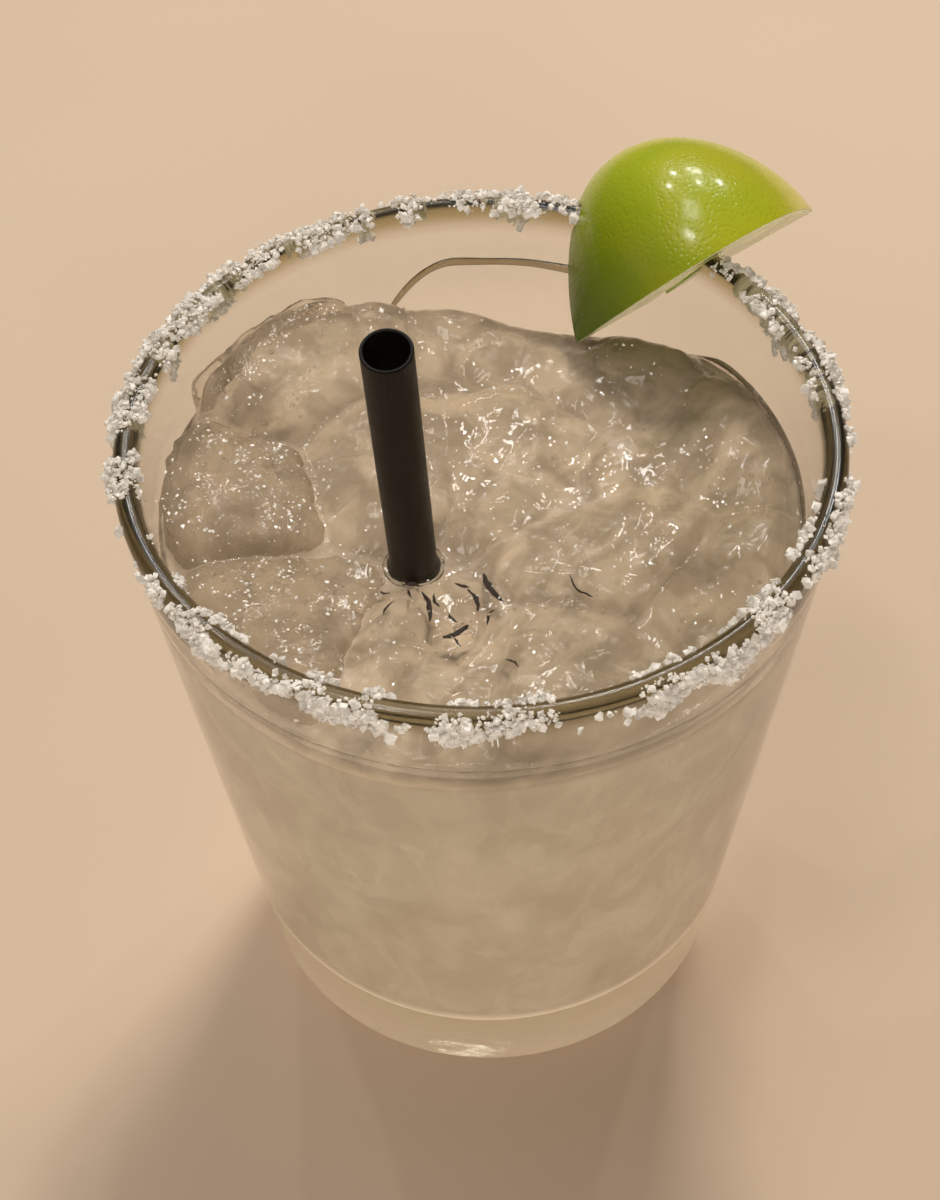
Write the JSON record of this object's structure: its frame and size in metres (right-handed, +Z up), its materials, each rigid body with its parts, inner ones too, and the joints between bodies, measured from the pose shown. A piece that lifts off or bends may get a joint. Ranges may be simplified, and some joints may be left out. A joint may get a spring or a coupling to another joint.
{
  "type": "iced margarita cocktail",
  "caption": "Lime cocktail over ice in a tapered clear tumbler with a salted rim, a short dark straw and a lime wedge set on the rim.",
  "frame": {"origin": "centre of the tumbler's flat underside, on the glass's axis", "axes": "+Z up along the glass's axis, -Y towards the viewer of the picture, +X to the viewer's right"},
  "size_m": [0.0917, 0.0966, 0.1276],
  "materials": {
    "glass": "clear polished soda-lime glass with a faint olive edge tint",
    "salt": "damp coarse white salt crystals",
    "drink": "cloudy pale straw-coloured liquid, glossy surface",
    "ice": "wet, half-melted ice, partly clear and partly frosted",
    "straw": "semi-matt black-brown polypropylene",
    "lime": "waxy yellow-green peel, pale pith and wet green pulp on the cut faces"
  },
  "bodies": {
    "root": {"glass": "glass", "drink": "drink", "ice_01": "ice", "ice_02": "ice", "ice_03": "ice", "ice_04": "ice", "ice_05": "ice", "ice_06": "ice", "ice_07": "ice", "ice_08": "ice", "ice_09": "ice", "ice_10": "ice", "ice_11": "ice", "ice_12": "ice", "straw": "straw", "lime_wedge": "lime"}
  },
  "joints": []
}
